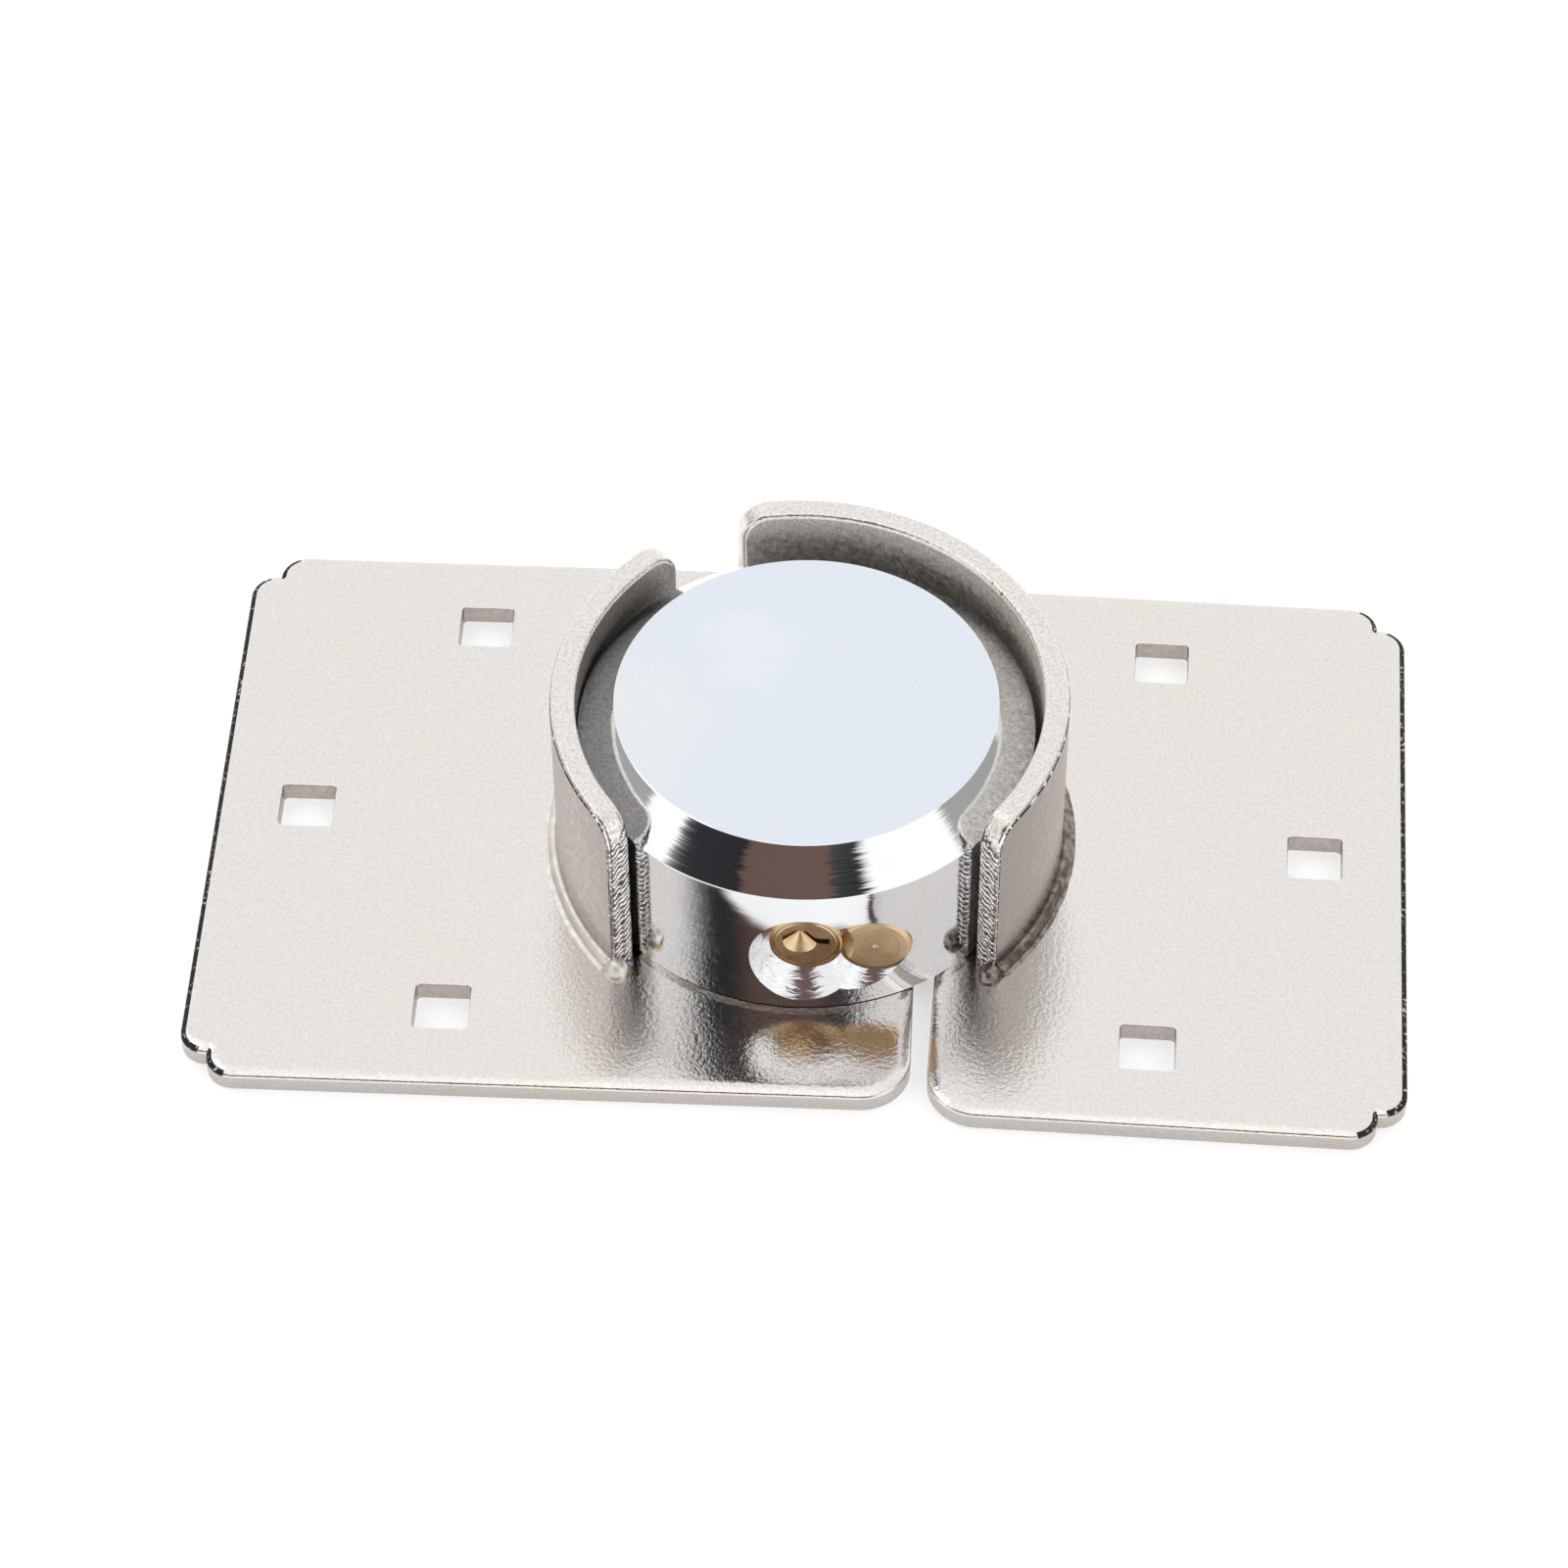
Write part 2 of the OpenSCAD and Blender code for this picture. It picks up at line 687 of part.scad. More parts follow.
// Brass head, fluted on its left so that it slides past the cylinder's housing
module bolt_head() {
    centre_r = 0.5;
    flute_r = face_r + 2 * fit;
    color(brass)
        difference() {
            translate([bolt_x, face_y, axis_z])
                rotate([-90, 0, 0])
                    rotate_extrude()
                        polygon([[0, 0], [face_r - head_bevel, 0], [face_r, head_bevel],
                            [face_r, head_l], [0, head_l]]);
            rod_y(cyl_x, axis_z, face_y - 1, face_y + head_l + 1, flute_r);
            translate([cyl_x, face_y - eps, axis_z])
                rotate([-90, 0, 0])
                    cylinder(h = flare_d, r1 = flute_r + flare_w, r2 = flute_r - eps);
            rod_y(bolt_x, axis_z, face_y + head_l - stud_l - 0.3, face_y + head_l + 1,
                stud_r + press);
            translate([bolt_x, face_y - eps, axis_z])
                rotate([-90, 0, 0])
                    cylinder(h = centre_r, r1 = centre_r, r2 = 0.05);
        }
}

module bolt_spring() {
    color(spring_grey)
        translate([bolt_x, face_y + head_l + press, axis_z])
            rotate([-90, 0, 0])
                coil(bolt_r + spring_wire / 2 + 0.1, spring_wire, spring_l - 2 * press, 8, 16, 6);
}

left_leaf();
left_guard();
left_weld();
left_eye();
right_leaf();
right_guard();
right_weld();
right_eye();
lock_body();
cylinder_housing();
plug();
plug_cam();
cam_screw();
key_pin(0);  // key_pin_1
key_pin(1);  // key_pin_2
key_pin(2);  // key_pin_3
key_pin(3);  // key_pin_4
key_pin(4);  // key_pin_5
driver_pin(0);  // driver_pin_1
driver_pin(1);  // driver_pin_2
driver_pin(2);  // driver_pin_3
driver_pin(3);  // driver_pin_4
driver_pin(4);  // driver_pin_5
pin_spring(0);  // pin_spring_1
pin_spring(1);  // pin_spring_2
pin_spring(2);  // pin_spring_3
pin_spring(3);  // pin_spring_4
pin_spring(4);  // pin_spring_5
pin_cover();
housing_pin();
bolt();
bolt_head();
bolt_spring();
bolt_stop_pin();
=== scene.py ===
import math

import bmesh
import bpy
from mathutils import Matrix, Vector, noise
from mathutils.geometry import tessellate_polygon


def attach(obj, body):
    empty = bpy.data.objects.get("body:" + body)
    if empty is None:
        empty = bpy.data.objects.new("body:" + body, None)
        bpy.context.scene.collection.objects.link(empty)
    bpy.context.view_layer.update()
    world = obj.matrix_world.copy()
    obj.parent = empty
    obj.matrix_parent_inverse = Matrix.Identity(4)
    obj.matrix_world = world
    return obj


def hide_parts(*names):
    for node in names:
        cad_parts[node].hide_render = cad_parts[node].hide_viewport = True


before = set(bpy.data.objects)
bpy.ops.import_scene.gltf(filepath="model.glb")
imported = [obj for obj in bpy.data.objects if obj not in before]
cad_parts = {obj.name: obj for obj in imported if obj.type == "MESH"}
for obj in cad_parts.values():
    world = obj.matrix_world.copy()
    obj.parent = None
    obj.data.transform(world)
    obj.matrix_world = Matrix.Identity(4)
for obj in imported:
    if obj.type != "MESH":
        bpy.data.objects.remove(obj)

# Sizes in millimetres, as in the CAD source; meshes are written in metres
MM = 0.001
LEAF_L, LEAF_T = 113.0, 3.6
LEFT_REACH, RIGHT_REACH = 97.1, 97.8
LEFT_EDGE, RIGHT_EDGE = 18.4, 22.7
LEFT_LEAF_Y, RIGHT_LEAF_Y = 3.3, 1.2
INNER_R, LOBE_R, LOBE_STEP = 8.0, 4.4, 4.6
ROLL_W, ROLL_SAG, CREST_R, CREST_TILT = 2.0, 0.36, 0.55, 20
HOLE_W, HOLE_R, HOLE_EDGE, HOLE_ROW, HOLE_PITCH = 8.8, 0.8, 14.8, 26.0, 41.25
PIVOT, LEAF_TURN = (12.3, 7.2), math.radians(-1.75)
GUARD_T, GUARD_H, GUARD_END_R, GUARD_EDGE_R = 4.0, 33.9, 5.0, 0.8
LEFT_GUARD = {"centre": (3.6, 0.6), "r": 40.3, "a0": 130.2, "a1": 222.0}
RIGHT_GUARD = {"centre": (-1.1, 0.6), "r": 39.0, "a0": -39.8, "a1": 108.0}
LEAF_CLEAR = 0.5
WALL_ROWS, END_FINENESS, TEAR_SHADE_DEPTH = 44, 6, 0.36
WELD_W, WELD_H = 2.2, 3.0
BLOB_R, BLOB_H, BLOB_OUT, BLOB_ALONG = 2.0, 2.1, 1.9, 0.55
LOCK_R, LOCK_Z, LOCK_H, LOCK_CHAMFER, LOCK_FOOT = 36.5, 3.9, 33.0, 6.0, 0.8
AXIS_Z, CYL_X, BOLT_X = 16.0, 1.4, 12.3
FACE_Y, FACE_R = -32.9, 5.7
SCOOP_MOUTH, SCOOP_ANGLE = 5.6, math.radians(48)
PIN_COUNT, PIN_FIRST_Y, PIN_PITCH, PIN_BORE_R = 5, -28.9, 3.5, 1.26
BROKEN_EDGE = 0.16
FLOOR_HALF, FLOOR_DROP, FLOOR_GLOW = 6.0, 0.0004, 0.5

# Marks of the faces: each is a place in the piece's list of materials
LEAF_SHEET, LEAF_HOLE, LEAF_CREST, LEAF_SIDE = range(4)
GUARD_TOP, GUARD_BAR, GUARD_SHEARED, GUARD_INSIDE, GUARD_TORN, GUARD_CREST = range(6)
LOCK_TURNED, LOCK_DISC, LOCK_LEFT_SCOOP, LOCK_RIGHT_SCOOP, LOCK_BORE = range(5)


def flat(x, y, turned):
    """A point of the plan, turned with the right leaf if it belongs there."""
    if not turned:
        return x, y
    dx, dy = x - PIVOT[0], y - PIVOT[1]
    c, s = math.cos(LEAF_TURN), math.sin(LEAF_TURN)
    return PIVOT[0] + c * dx - s * dy, PIVOT[1] + s * dx + c * dy


def wobble(x, y, z=0.0):
    """Smooth noise from -1 to 1."""
    return noise.noise(Vector((x, y, z)))


# Node helpers

def node(tree, kind, props=None, inputs=None):
    n = tree.nodes.new("ShaderNode" + kind)
    for key, value in (props or {}).items():
        setattr(n, key, value)
    for key, value in (inputs or {}).items():
        socket = n.inputs[key]
        if isinstance(value, bpy.types.NodeSocket):
            tree.links.new(value, socket)
        else:
            socket.default_value = value
    return n


def math_node(tree, operation, a, b=0.0):
    return node(tree, "Math", {"operation": operation}, {0: a, 1: b}).outputs[0]


def vector_node(tree, operation, inputs, output=0):
    return node(tree, "VectorMath", {"operation": operation}, inputs).outputs[output]


def mix(tree, factor, a, b):
    n = node(tree, "Mix", {"data_type": "RGBA"}, {0: factor, 6: a, 7: b})
    return n.outputs[2]


def step(tree, value, low, high, to_low=0.0, to_high=1.0):
    n = node(tree, "MapRange", {"interpolation_type": "SMOOTHSTEP"},
             {0: value, 1: low, 2: high, 3: to_low, 4: to_high})
    return n.outputs[0]


def grain(tree, coords, scale, detail=2.0, rough=0.5):
    return node(tree, "TexNoise", None, {"Vector": coords, "Scale": scale, "Detail": detail,
                                         "Roughness": rough}).outputs[0]


def stretched(tree, coords, x, y, z):
    return vector_node(tree, "MULTIPLY", {0: coords, 1: (x, y, z)})


def new_metal(name):
    m = bpy.data.materials.new(name)
    m.use_nodes = True
    tree = m.node_tree
    shader = tree.nodes["Principled BSDF"]
    shader.inputs["Metallic"].default_value = 1.0
    coords = node(tree, "TexCoord").outputs["Object"]
    return m, tree, shader, coords


def connect(tree, shader, colour, rough, normal):
    tree.links.new(colour, shader.inputs["Base Color"])
    tree.links.new(rough, shader.inputs["Roughness"])
    tree.links.new(normal, shader.inputs["Normal"])


def bump(tree, height, distance, normal=None):
    inputs = {"Strength": 1.0, "Distance": distance, "Height": height}
    if normal is not None:
        inputs["Normal"] = normal
    return node(tree, "Bump", None, inputs).outputs[0]


def tinted(colour, red, green, blue):
    """The colour with each part times its factor, and opaque."""
    return colour[0] * red, colour[1] * green, colour[2] * blue, 1


def from_axis(tree, coords, x):
    """Offset from the axis along Y through the brass face at x."""
    return vector_node(tree, "SUBTRACT", {0: coords, 1: (x * MM, 0, AXIS_Z * MM)})


# Materials

def nickel(name, colour, peel, fine, rough, sandy, spots=()):
    """Satin nickel plate; peel and fine are depths in metres, sandy is how far the tone varies."""
    m, tree, shader, coords = new_metal(name)
    clouds = grain(tree, coords, 45, 3)
    grit = grain(tree, coords, 1350, 3, 0.65)
    warm = tinted(colour, 1.0, 0.985, 0.965)
    cool = tinted(colour, 0.985, 0.99, 1.0)
    base = mix(tree, step(tree, clouds, 0.35, 0.65), warm, cool)
    speck = grain(tree, coords, 2600, 1)
    pink = tinted(colour, 1.03, 0.94, 0.96)
    blue = tinted(colour, 0.86, 0.9, 1.02)
    base = mix(tree, step(tree, speck, 0.6, 0.75, 0, 0.5), base, pink)
    base = mix(tree, step(tree, speck, 0.4, 0.25, 0, 0.5), base, blue)
    shade = step(tree, grain(tree, coords, 1900, 3, 0.7), 0.32, 0.66, 1 - sandy, 1 + sandy * 0.6)
    base = vector_node(tree, "SCALE", {0: base, "Scale": shade})
    roughness = step(tree, grain(tree, coords, 900, 2), 0.3, 0.7, rough * 0.85, rough * 1.2)
    for place, radius, tint in spots:
        centre = tuple(c * MM for c in place)
        offset = vector_node(tree, "DISTANCE", {0: coords, 1: centre}, "Value")
        ragged = math_node(tree, "ADD", offset, math_node(tree, "MULTIPLY", grit, radius * MM))
        cover = step(tree, ragged, radius * 0.9 * MM, radius * 1.5 * MM, 1, 0)
        base = mix(tree, cover, base, tint + (1,))
    normal = bump(tree, grain(tree, coords, 750, 2, 0.6), peel)
    normal = bump(tree, grit, fine, normal)
    connect(tree, shader, base, roughness, normal)
    return m


def sheared_nickel(name, dark, light, rough):
    """Torn face at the end of a guard bar, streaked and plated over."""
    m, tree, shader, coords = new_metal(name)
    tears = grain(tree, stretched(tree, coords, 700, 700, 1500), 1.0, 3, 0.6)
    base = mix(tree, step(tree, tears, 0.35, 0.6), dark, light)
    roughness = step(tree, tears, 0.3, 0.7, rough * 1.3, rough)
    normal = bump(tree, tears, 0.00005)
    normal = bump(tree, grain(tree, coords, 1800, 3), 0.00001, normal)
    connect(tree, shader, base, roughness, normal)
    return m


def crest_nickel():
    """Darkened crest of a sheared edge, with bright plating showing through in grains."""
    m, tree, shader, coords = new_metal("nickel_crest")
    grains = grain(tree, coords, 1300, 3, 0.7)
    base = mix(tree, step(tree, grains, 0.57, 0.68),
               (0.035, 0.033, 0.032, 1), (0.7, 0.66, 0.62, 1))
    roughness = step(tree, grains, 0.4, 0.6, 0.5, 0.3)
    normal = bump(tree, grains, 0.00006)
    connect(tree, shader, base, roughness, normal)
    return m


def weld_metal(name, dark, light, rough, depth):
    m, tree, shader, coords = new_metal(name)
    lumps = grain(tree, coords, 600, 3, 0.6)
    base = mix(tree, step(tree, lumps, 0.35, 0.65), dark, light)
    roughness = step(tree, lumps, 0.3, 0.7, rough * 1.3, rough * 0.8)
    normal = bump(tree, lumps, depth)
    normal = bump(tree, grain(tree, coords, 2600, 2), 0.000006, normal)
    connect(tree, shader, base, roughness, normal)
    return m


def combed(tree, normal, lines, offset, axis, amount):
    """Swings the normal a little round an axis, line by line, as a turning tool leaves it."""
    across = vector_node(tree, "CROSS_PRODUCT", {0: axis, 1: offset})
    unit = vector_node(tree, "NORMALIZE", {0: across})
    swing = math_node(tree, "MULTIPLY", math_node(tree, "SUBTRACT", lines, 0.5), amount)
    moved = vector_node(tree, "MULTIPLY_ADD", {0: unit, 1: swing, 2: normal})
    return vector_node(tree, "NORMALIZE", {0: moved})


def mirror_steel():
    """Turned and polished steel: fine lines run round the lock."""
    m, tree, shader, coords = new_metal("steel_turned")
    lines = grain(tree, stretched(tree, coords, 26, 26, 5200), 1.0, 3, 0.7)
    clouds = grain(tree, coords, 70, 2)
    base = mix(tree, step(tree, clouds, 0.35, 0.65), (0.8, 0.81, 0.82, 1), (0.84, 0.85, 0.87, 1))
    roughness = step(tree, lines, 0.3, 0.75, 0.04, 0.08)
    fine = grain(tree, stretched(tree, coords, 40, 40, 3600), 1.0, 4, 0.75)
    normal = combed(tree, bump(tree, lines, 0.000003), fine, coords, (0, 0, 1), 0.12)
    connect(tree, shader, base, roughness, normal)
    return m


def disc_steel():
    """Face-turned top of the lock, with faint arcs left by the tool; its pale bluish colour is a
    painted reflection of a softbox overhead.
    """
    m, tree, shader, coords = new_metal("steel_faced")
    offset = vector_node(tree, "SUBTRACT", {0: coords, 1: (-0.009, 0.012, 0.0369)})
    radius = vector_node(tree, "LENGTH", {0: offset}, "Value")
    warped = math_node(tree, "ADD", radius,
                       math_node(tree, "MULTIPLY", grain(tree, coords, 60, 2), 0.004))
    arcs = grain(tree, node(tree, "CombineXYZ", None, {0: warped}).outputs[0], 1900, 3, 0.7)
    patches = grain(tree, coords, 34, 3)
    left = step(tree, node(tree, "SeparateXYZ", None, {0: coords}).outputs[0], -0.004, -0.024)
    warm = math_node(tree, "MULTIPLY", step(tree, patches, 0.4, 0.56), left)
    # Painted reflection: bluish where the steel mirrors the softbox overhead, warmer in patches
    # towards the left side
    base = mix(tree, warm, (0.79, 0.825, 0.895, 1), (0.84, 0.85, 0.86, 1))
    uneven = math_node(tree, "MULTIPLY", grain(tree, coords, 75, 4, 0.6), 0.028)
    near = math_node(tree, "ADD", radius, uneven)
    # Painted highlight: paler and bluer in a ragged patch round a point near the middle of the disc
    base = mix(tree, step(tree, near, 0.0225, 0.0175, 0, 0.5), base, (0.87, 0.9, 0.95, 1))
    worn = step(tree, patches, 0.4, 0.6)
    marked = math_node(tree, "MULTIPLY", step(tree, arcs, 0.5, 0.62), worn)
    base = mix(tree, marked, base, (0.75, 0.79, 0.87, 1))
    gloss = math_node(tree, "MULTIPLY", step(tree, arcs, 0.4, 0.7), worn)
    roughness = step(tree, gloss, 0.0, 1.0, 0.1, 0.22)
    normal = bump(tree, math_node(tree, "MULTIPLY", arcs, worn), 0.000004)
    normal = bump(tree, grain(tree, coords, 1500, 2), 0.0000008, normal)
    connect(tree, shader, base, roughness, normal)
    return m


def radial_height(tree, coords, x, scale, wave):
    """Rings about the axis of a brass face, uneven as a tool leaves them."""
    plane = stretched(tree, from_axis(tree, coords, x), 1, 0, 1)
    radius = vector_node(tree, "LENGTH", {0: plane}, "Value")
    uneven = math_node(tree, "MULTIPLY", grain(tree, coords, 500, 2), wave)
    along = math_node(tree, "ADD", radius, uneven)
    return grain(tree, node(tree, "CombineXYZ", None, {0: along}).outputs[0], scale, 2, 0.6)


def scoop_steel(name, x):
    """Bright cone left by a countersink, with its rings and a little chatter."""
    m, tree, shader, coords = new_metal(name)
    rings = radial_height(tree, coords, x, 2600, 0.0002)
    chatter = grain(tree, coords, 700, 2)
    base = mix(tree, step(tree, rings, 0.3, 0.7), (0.8, 0.81, 0.83, 1), (0.86, 0.87, 0.88, 1))
    roughness = step(tree, chatter, 0.3, 0.7, 0.04, 0.1)
    offset = from_axis(tree, coords, x)
    normal = bump(tree, chatter, 0.000012, bump(tree, rings, 0.000004))
    uneven = radial_height(tree, coords, x, 3800, 0.0012)
    normal = combed(tree, normal, uneven, offset, (0, 1, 0), 0.9)
    connect(tree, shader, base, roughness, normal)
    return m


def brass_metal(name, x, depth, rough):
    """Turned brass, golden brown, with rings about its own axis."""
    m, tree, shader, coords = new_metal(name)
    rings = radial_height(tree, coords, x, 1500, 0.0001)
    tone = grain(tree, coords, 260, 3)
    base = mix(tree, step(tree, tone, 0.35, 0.65), (0.82, 0.6, 0.36, 1), (0.87, 0.66, 0.41, 1))
    base = mix(tree, step(tree, rings, 0.42, 0.6, 0, 0.3), base, (0.64, 0.42, 0.22, 1))
    roughness = step(tree, tone, 0.3, 0.7, rough, rough * 1.2)
    normal = bump(tree, rings, depth)
    connect(tree, shader, base, roughness, normal)
    return m


def bright_metal(name, colour, rough):
    """Plain turned steel of the inner pieces."""
    m, tree, shader, coords = new_metal(name)
    lines = grain(tree, stretched(tree, coords, 60, 3000, 60), 1.0, 2)
    darker = tinted(colour, 0.88, 0.88, 0.88)
    tone = step(tree, grain(tree, coords, 200, 3), 0.35, 0.65)
    base = mix(tree, tone, darker, colour + (1,))
    roughness = step(tree, lines, 0.3, 0.7, rough * 0.8, rough * 1.3)
    normal = bump(tree, lines, 0.000003)
    connect(tree, shader, base, roughness, normal)
    return m


NICKEL_COLOUR = (0.835, 0.8, 0.765)
# Stains, as place and radius in millimetres and colour: heat tint by the left weld
SHEET_TINT = ((-27.2, -29.6, 3.6), 1.6, (0.66, 0.52, 0.34))
BAR_TINT = ((-27.4, -29.6, 5.2), 2.0, (0.78, 0.62, 0.4))
# Two specks of rust at the right guard's inner edge and a chip at its back corner
TOP_SPOTS = [((30.4, 24.0, 37.2), 0.42, (0.4, 0.17, 0.09)),
             ((29.0, 26.3, 37.3), 0.3, (0.42, 0.2, 0.1)),
             ((-13.3, 39.7, 36.6), 0.8, (0.05, 0.048, 0.045))]
MATERIALS = {
    "sheet": nickel("nickel_sheet", NICKEL_COLOUR, 0.000016, 0.00006, 0.09, 0.08,
                    [SHEET_TINT]),
    # Hole walls: the sheet's nickel painted darker, as shade inside the holes
    "hole": nickel("nickel_hole_painted_shade", (0.52, 0.48, 0.44), 0.000012, 0.00002, 0.4, 0.1),
    "crest": crest_nickel(),
    # Lower edge bands of the leaves: the sheet's nickel painted darker, as shade
    "side": nickel("nickel_side_painted_shade", (0.55, 0.515, 0.485), 0.00001, 0.00002, 0.3, 0.08),
    # Guards' outer faces and the eyes: the nickel painted darker, as shade; the heat-tint stain on
    # it is real
    "bar": nickel("nickel_bar_painted_shade", (0.51, 0.47, 0.44), 0.000004, 0.000001, 0.3, 0.05,
                  [BAR_TINT]),
    "inside": nickel("nickel_inside", (0.86, 0.82, 0.77), 0.00002, 0.00004, 0.55, 0.24),
    "shaded": nickel("nickel_shaded", (0.4, 0.38, 0.36), 0.00002, 0.00004, 0.42, 0.24),
    "top": nickel("nickel_top", (0.84, 0.8, 0.765), 0.00005, 0.00011, 0.18, 0.16,
                  TOP_SPOTS),
    "sheared": sheared_nickel("nickel_sheared", (0.6, 0.575, 0.55, 1), (0.88, 0.86, 0.83, 1), 0.16),
    # Dark copy of the torn face: painted shade in the deep tears, and the dark line down the end's
    # outermost edge
    "torn": sheared_nickel("nickel_torn", (0.07, 0.062, 0.06, 1), (0.2, 0.18, 0.17, 1), 0.3),
    "left_weld": weld_metal("weld_light", (0.86, 0.82, 0.77, 1), (0.93, 0.89, 0.84, 1),
                            0.45, 0.00001),
    "right_weld": weld_metal("weld_dark", (0.15, 0.125, 0.115, 1), (0.36, 0.31, 0.28, 1),
                             0.3, 0.00002),
    "turned": mirror_steel(),
    "disc": disc_steel(),
    "left_scoop": scoop_steel("steel_scoop_left", CYL_X),
    "right_scoop": scoop_steel("steel_scoop_right", BOLT_X),
    "bore": bright_metal("steel_bore", (0.55, 0.55, 0.56), 0.3),
    "brass": brass_metal("brass_cylinder", CYL_X, 0.000004, 0.26),
    "brass_head": brass_metal("brass_head", BOLT_X, 0.000007, 0.36),
    "bright": bright_metal("steel_bright", (0.72, 0.73, 0.75), 0.18),
    "spring": bright_metal("steel_spring", (0.48, 0.49, 0.52), 0.3),
}


# Mesh helpers

def make(name, points, faces, materials, marks=None, sharp=35, scale=MM):
    """A closed mesh object from points in millimetres."""
    me = bpy.data.meshes.new(name)
    me.from_pydata([(x * scale, y * scale, z * scale) for x, y, z in points], [], faces)
    for m in materials:
        me.materials.append(MATERIALS[m])
    if marks:
        me.polygons.foreach_set("material_index", marks)
    bm = bmesh.new()
    bm.from_mesh(me)
    bmesh.ops.remove_doubles(bm, verts=bm.verts, dist=2e-4 * scale)
    bmesh.ops.dissolve_degenerate(bm, dist=1e-5 * scale, edges=bm.edges)
    bmesh.ops.recalc_face_normals(bm, faces=bm.faces)
    for f in bm.faces:
        f.smooth = True
    for e in bm.edges:
        if len(e.link_faces) == 2 and e.calc_face_angle(0) > math.radians(sharp):
            e.smooth = False
    bm.to_mesh(me)
    bm.free()
    o = bpy.data.objects.new(name, me)
    bpy.context.scene.collection.objects.link(o)
    return o


def arc(cx, cy, r, a0, a1, steps, side):
    """Points of an arc, each with the normal that side times its radius gives."""
    out = []
    for k in range(steps + 1):
        a = math.radians(a0 + (a1 - a0) * k / steps)
        out.append((cx + r * math.cos(a), cy + r * math.sin(a),
                    side * math.cos(a), side * math.sin(a)))
    return out


def fan(x, y, a0, a1, steps):
    """A sharp inner corner, as one point whose normal turns."""
    return arc(x, y, 0.0, a0, a1, steps, 1)


def leaf_outline(reach, inner, y_mid):
    h = LEAF_L / 2
    out_x, step_x = LOBE_R - reach, LOBE_STEP - reach
    low, high = y_mid - h, y_mid + h
    return (arc(inner - INNER_R, low + INNER_R, INNER_R, -90, 0, 20, -1)
            + arc(inner - INNER_R, high - INNER_R, INNER_R, 0, 90, 20, -1)
            + arc(step_x + LOBE_R, high - LOBE_R, LOBE_R, 90, 180, 16, -1)
            + fan(step_x, high - LOBE_STEP, 0, -90, 8)
            + arc(out_x, high - LOBE_STEP - LOBE_R, LOBE_R, 90, 180, 16, -1)
            + arc(out_x, low + LOBE_STEP + LOBE_R, LOBE_R, 180, 270, 16, -1)
            + fan(step_x, low + LOBE_STEP, 90, 0, 8)
            + arc(step_x + LOBE_R, low + LOBE_R, LOBE_R, 180, 270, 16, -1))


def hole_outline(x, y):
    h = HOLE_W / 2 - HOLE_R
    corners = [(1, -1, -90), (1, 1, 0), (-1, 1, 90), (-1, -1, 180)]
    return [p for sx, sy, a in corners
            for p in arc(x + sx * h, y + sy * h, HOLE_R, a, a + 90, 6, 1)]


def edge_profile():
    """Inward distance and height along a leaf's edge, from the underside to the top."""
    profile = [(0.22, 0.0), (0.06, 0.06), (0.0, 0.22)]
    crest = LEAF_T - ROLL_SAG - CREST_R * math.cos(math.radians(CREST_TILT))
    for k in range(8):
        t = math.radians(90 - (90 - CREST_TILT) * k / 7)
        profile.append((CREST_R * (1 - math.sin(t)), crest + CREST_R * math.cos(t)))
    inner = profile[-1][0]
    for k in range(1, 9):
        profile.append((inner + ROLL_W * k / 8, LEAF_T - ROLL_SAG * (1 - k / 8) ** 2))
    return profile


HOLE_PROFILE = [(0.15, 0.0), (0.04, 0.04), (0.0, 0.15), (0.0, LEAF_T - 0.3),
                (0.03, LEAF_T - 0.15), (0.1, LEAF_T - 0.05), (0.28, LEAF_T), (0.45, LEAF_T)]


def leaf_plate(name, reach, inner, y_mid, mirrored):
    points, faces, marks, caps = [], [], [], {"low": [], "high": []}

    def place(x, y):
        return flat(-x if mirrored else x, y, mirrored)

    def mark(k, nx, walls):
        """The kind of face k up a profile: only the outer edges have the darkened crest."""
        if walls:
            # Hole walls take the darker nickel: painted shade
            return LEAF_HOLE if k < walls else LEAF_SHEET
        # The lowest bands of the edge take the darker nickel: painted shade
        if k < 4:
            return LEAF_SIDE
        return LEAF_CREST if nx > 0.3 and k < 12 else LEAF_SHEET

    def rings(outline, profile, walls):
        first = len(points)
        n = len(outline)
        for d, z in profile:
            points.extend((*place(x + nx * d, y + ny * d), z) for x, y, nx, ny in outline)
        for k in range(len(profile) - 1):
            for i in range(n):
                a, b = first + k * n + i, first + k * n + (i + 1) % n
                faces.append((a, b, b + n, a + n))
                marks.append(mark(k, outline[i][2], walls))
        caps["low"].append(range(first, first + n))
        caps["high"].append(range(first + (len(profile) - 1) * n, first + len(profile) * n))

    rings(leaf_outline(reach, inner, y_mid), edge_profile(), 0)
    for x, y in [(0, 0), (HOLE_ROW, HOLE_PITCH), (HOLE_ROW, -HOLE_PITCH)]:
        rings(hole_outline(HOLE_EDGE - reach + x, y_mid + y), HOLE_PROFILE, 4)
    for loops in caps.values():
        flat_list = [i for loop in loops for i in loop]
        lines = [[Vector((*points[i][:2], 0)) for i in loop] for loop in loops]
        faces.extend(tuple(flat_list[i] for i in tri) for tri in tessellate_polygon(lines))
    marks += [LEAF_SHEET] * (len(faces) - len(marks))
    return make(name, points, faces, ["sheet", "hole", "crest", "side"], marks)


def shear(w, z, seed):
    """Depth of the torn strokes on a bar's end: they climb inward and jog at the middle."""
    jog = 0.5 * math.tanh(4 * (w - 0.5 * wobble(z * 0.5, seed)))
    v = (z + 1.0 * w - jog) / 1.2 + 0.4 * wobble(w * 0.6, z * 0.6, seed + 5)
    ridge = abs(v - math.floor(v) - 0.5) * 2
    stroke = 0.4 * ridge * (0.8 + 0.7 * wobble(w * 0.9, z * 0.5, seed + 9))
    return stroke + 0.05 * wobble(w * 3, z * 3, seed)


